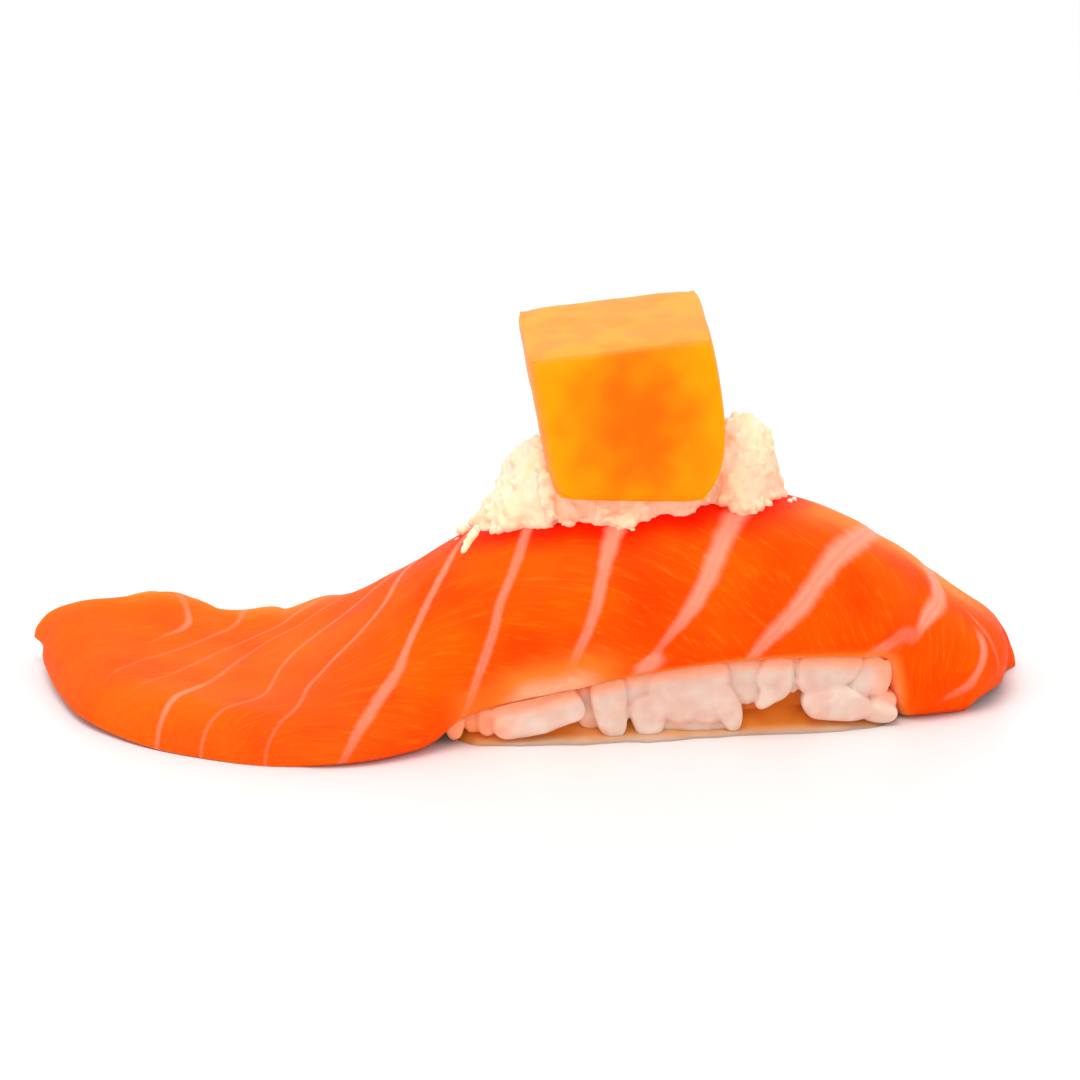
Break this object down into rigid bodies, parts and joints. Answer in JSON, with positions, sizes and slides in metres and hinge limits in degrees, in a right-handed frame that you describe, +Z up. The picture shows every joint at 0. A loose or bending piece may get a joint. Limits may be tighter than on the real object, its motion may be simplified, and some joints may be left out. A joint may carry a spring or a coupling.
{
  "type": "salmon nigiri topped with soft cheese and a mango cube",
  "caption": "Salmon nigiri: a striped raw salmon slice draped over a pressed rice ball with its tail lying flat, topped with crumbly soft cheese and a cube of mango.",
  "frame": {"origin": "middle of the whole object's footprint, on the surface it stands on", "axes": "+X along the slice from its flat tail to its draped head, +Y to the far side, +Z up"},
  "size_m": [0.098, 0.0405, 0.0402],
  "materials": {
    "rice": "moist cooked rice, translucent white",
    "salmon": "moist raw salmon with pale fat lines",
    "cheese": "crumbly soft cheese, cream white",
    "mango": "cut ripe mango, moist"
  },
  "bodies": {
    "root": {"rice_ball": "rice", "salmon_slice": "salmon", "soft_cheese": "cheese", "mango_cube": "mango"}
  },
  "joints": []
}
